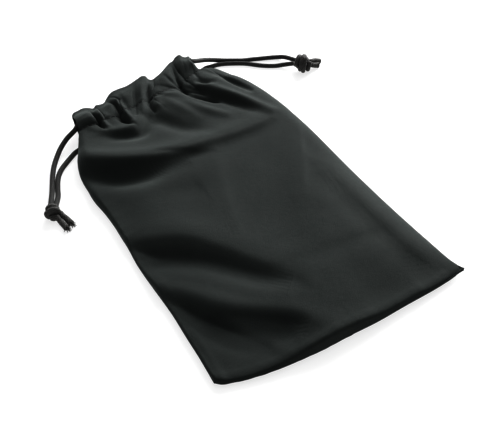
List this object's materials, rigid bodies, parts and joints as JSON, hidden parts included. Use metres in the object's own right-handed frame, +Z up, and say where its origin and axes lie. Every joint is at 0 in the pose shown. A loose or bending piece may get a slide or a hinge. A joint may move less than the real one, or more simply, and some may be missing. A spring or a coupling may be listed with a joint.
{
  "type": "drawstring pouch",
  "caption": "Flat soft pouch of black brushed microfibre cloth. Braided drawcords run through the hemmed mouth, leave it at each side and end in knots.",
  "frame": {"origin": "on the table under the middle of the bag, the centre of its footprint without the free cords", "axes": "+X across the bag from left to right, +Y from the bottom seam to the mouth, +Z up from the table"},
  "size_m": [0.1606, 0.1848, 0.0111],
  "materials": {
    "microfibre": "brushed nap, matt, with a faint sheen at glancing angles",
    "hem": "the same brushed cloth folded double and gathered",
    "thread": "matt spun sewing thread",
    "cord": "round braided cord, matt"
  },
  "bodies": {
    "pouch": {"back_panel": "microfibre", "back_casing": "hem", "back_casing_stitch": "thread", "left_side_seam": "thread", "right_side_seam": "thread", "bottom_seam": "thread", "left_cord_back_run": "cord", "right_cord_back_run": "cord"},
    "front": {"front_panel": "microfibre", "front_casing": "hem", "front_casing_stitch": "thread", "left_cord_front_run": "cord", "right_cord_front_run": "cord"},
    "left_cord": {"left_cord_front_strand": "cord", "left_cord_back_strand": "cord", "left_cord_knot": "cord", "left_cord_front_tail": "cord", "left_cord_back_tail": "cord"},
    "right_cord": {"right_cord_front_strand": "cord", "right_cord_back_strand": "cord", "right_cord_knot": "cord", "right_cord_front_tail": "cord", "right_cord_back_tail": "cord"}
  },
  "joints": [
    {"name": "mouth_open", "type": "hinge", "parent": "pouch", "child": "front", "pos_m": [0, -0.09135, 0.00105], "axis": [1, 0, 0], "range_deg": [0, 9], "deforming": ["left_cord_front_strand", "right_cord_front_strand"]},
    {"name": "left_cord_pull", "type": "slide", "parent": "pouch", "child": "left_cord", "axis": [-0.9636, -0.2672, 0], "range_m": [0, 0.03]},
    {"name": "right_cord_pull", "type": "slide", "parent": "pouch", "child": "right_cord", "axis": [0.9636, 0.2672, 0], "range_m": [0, 0.03]}
  ]
}
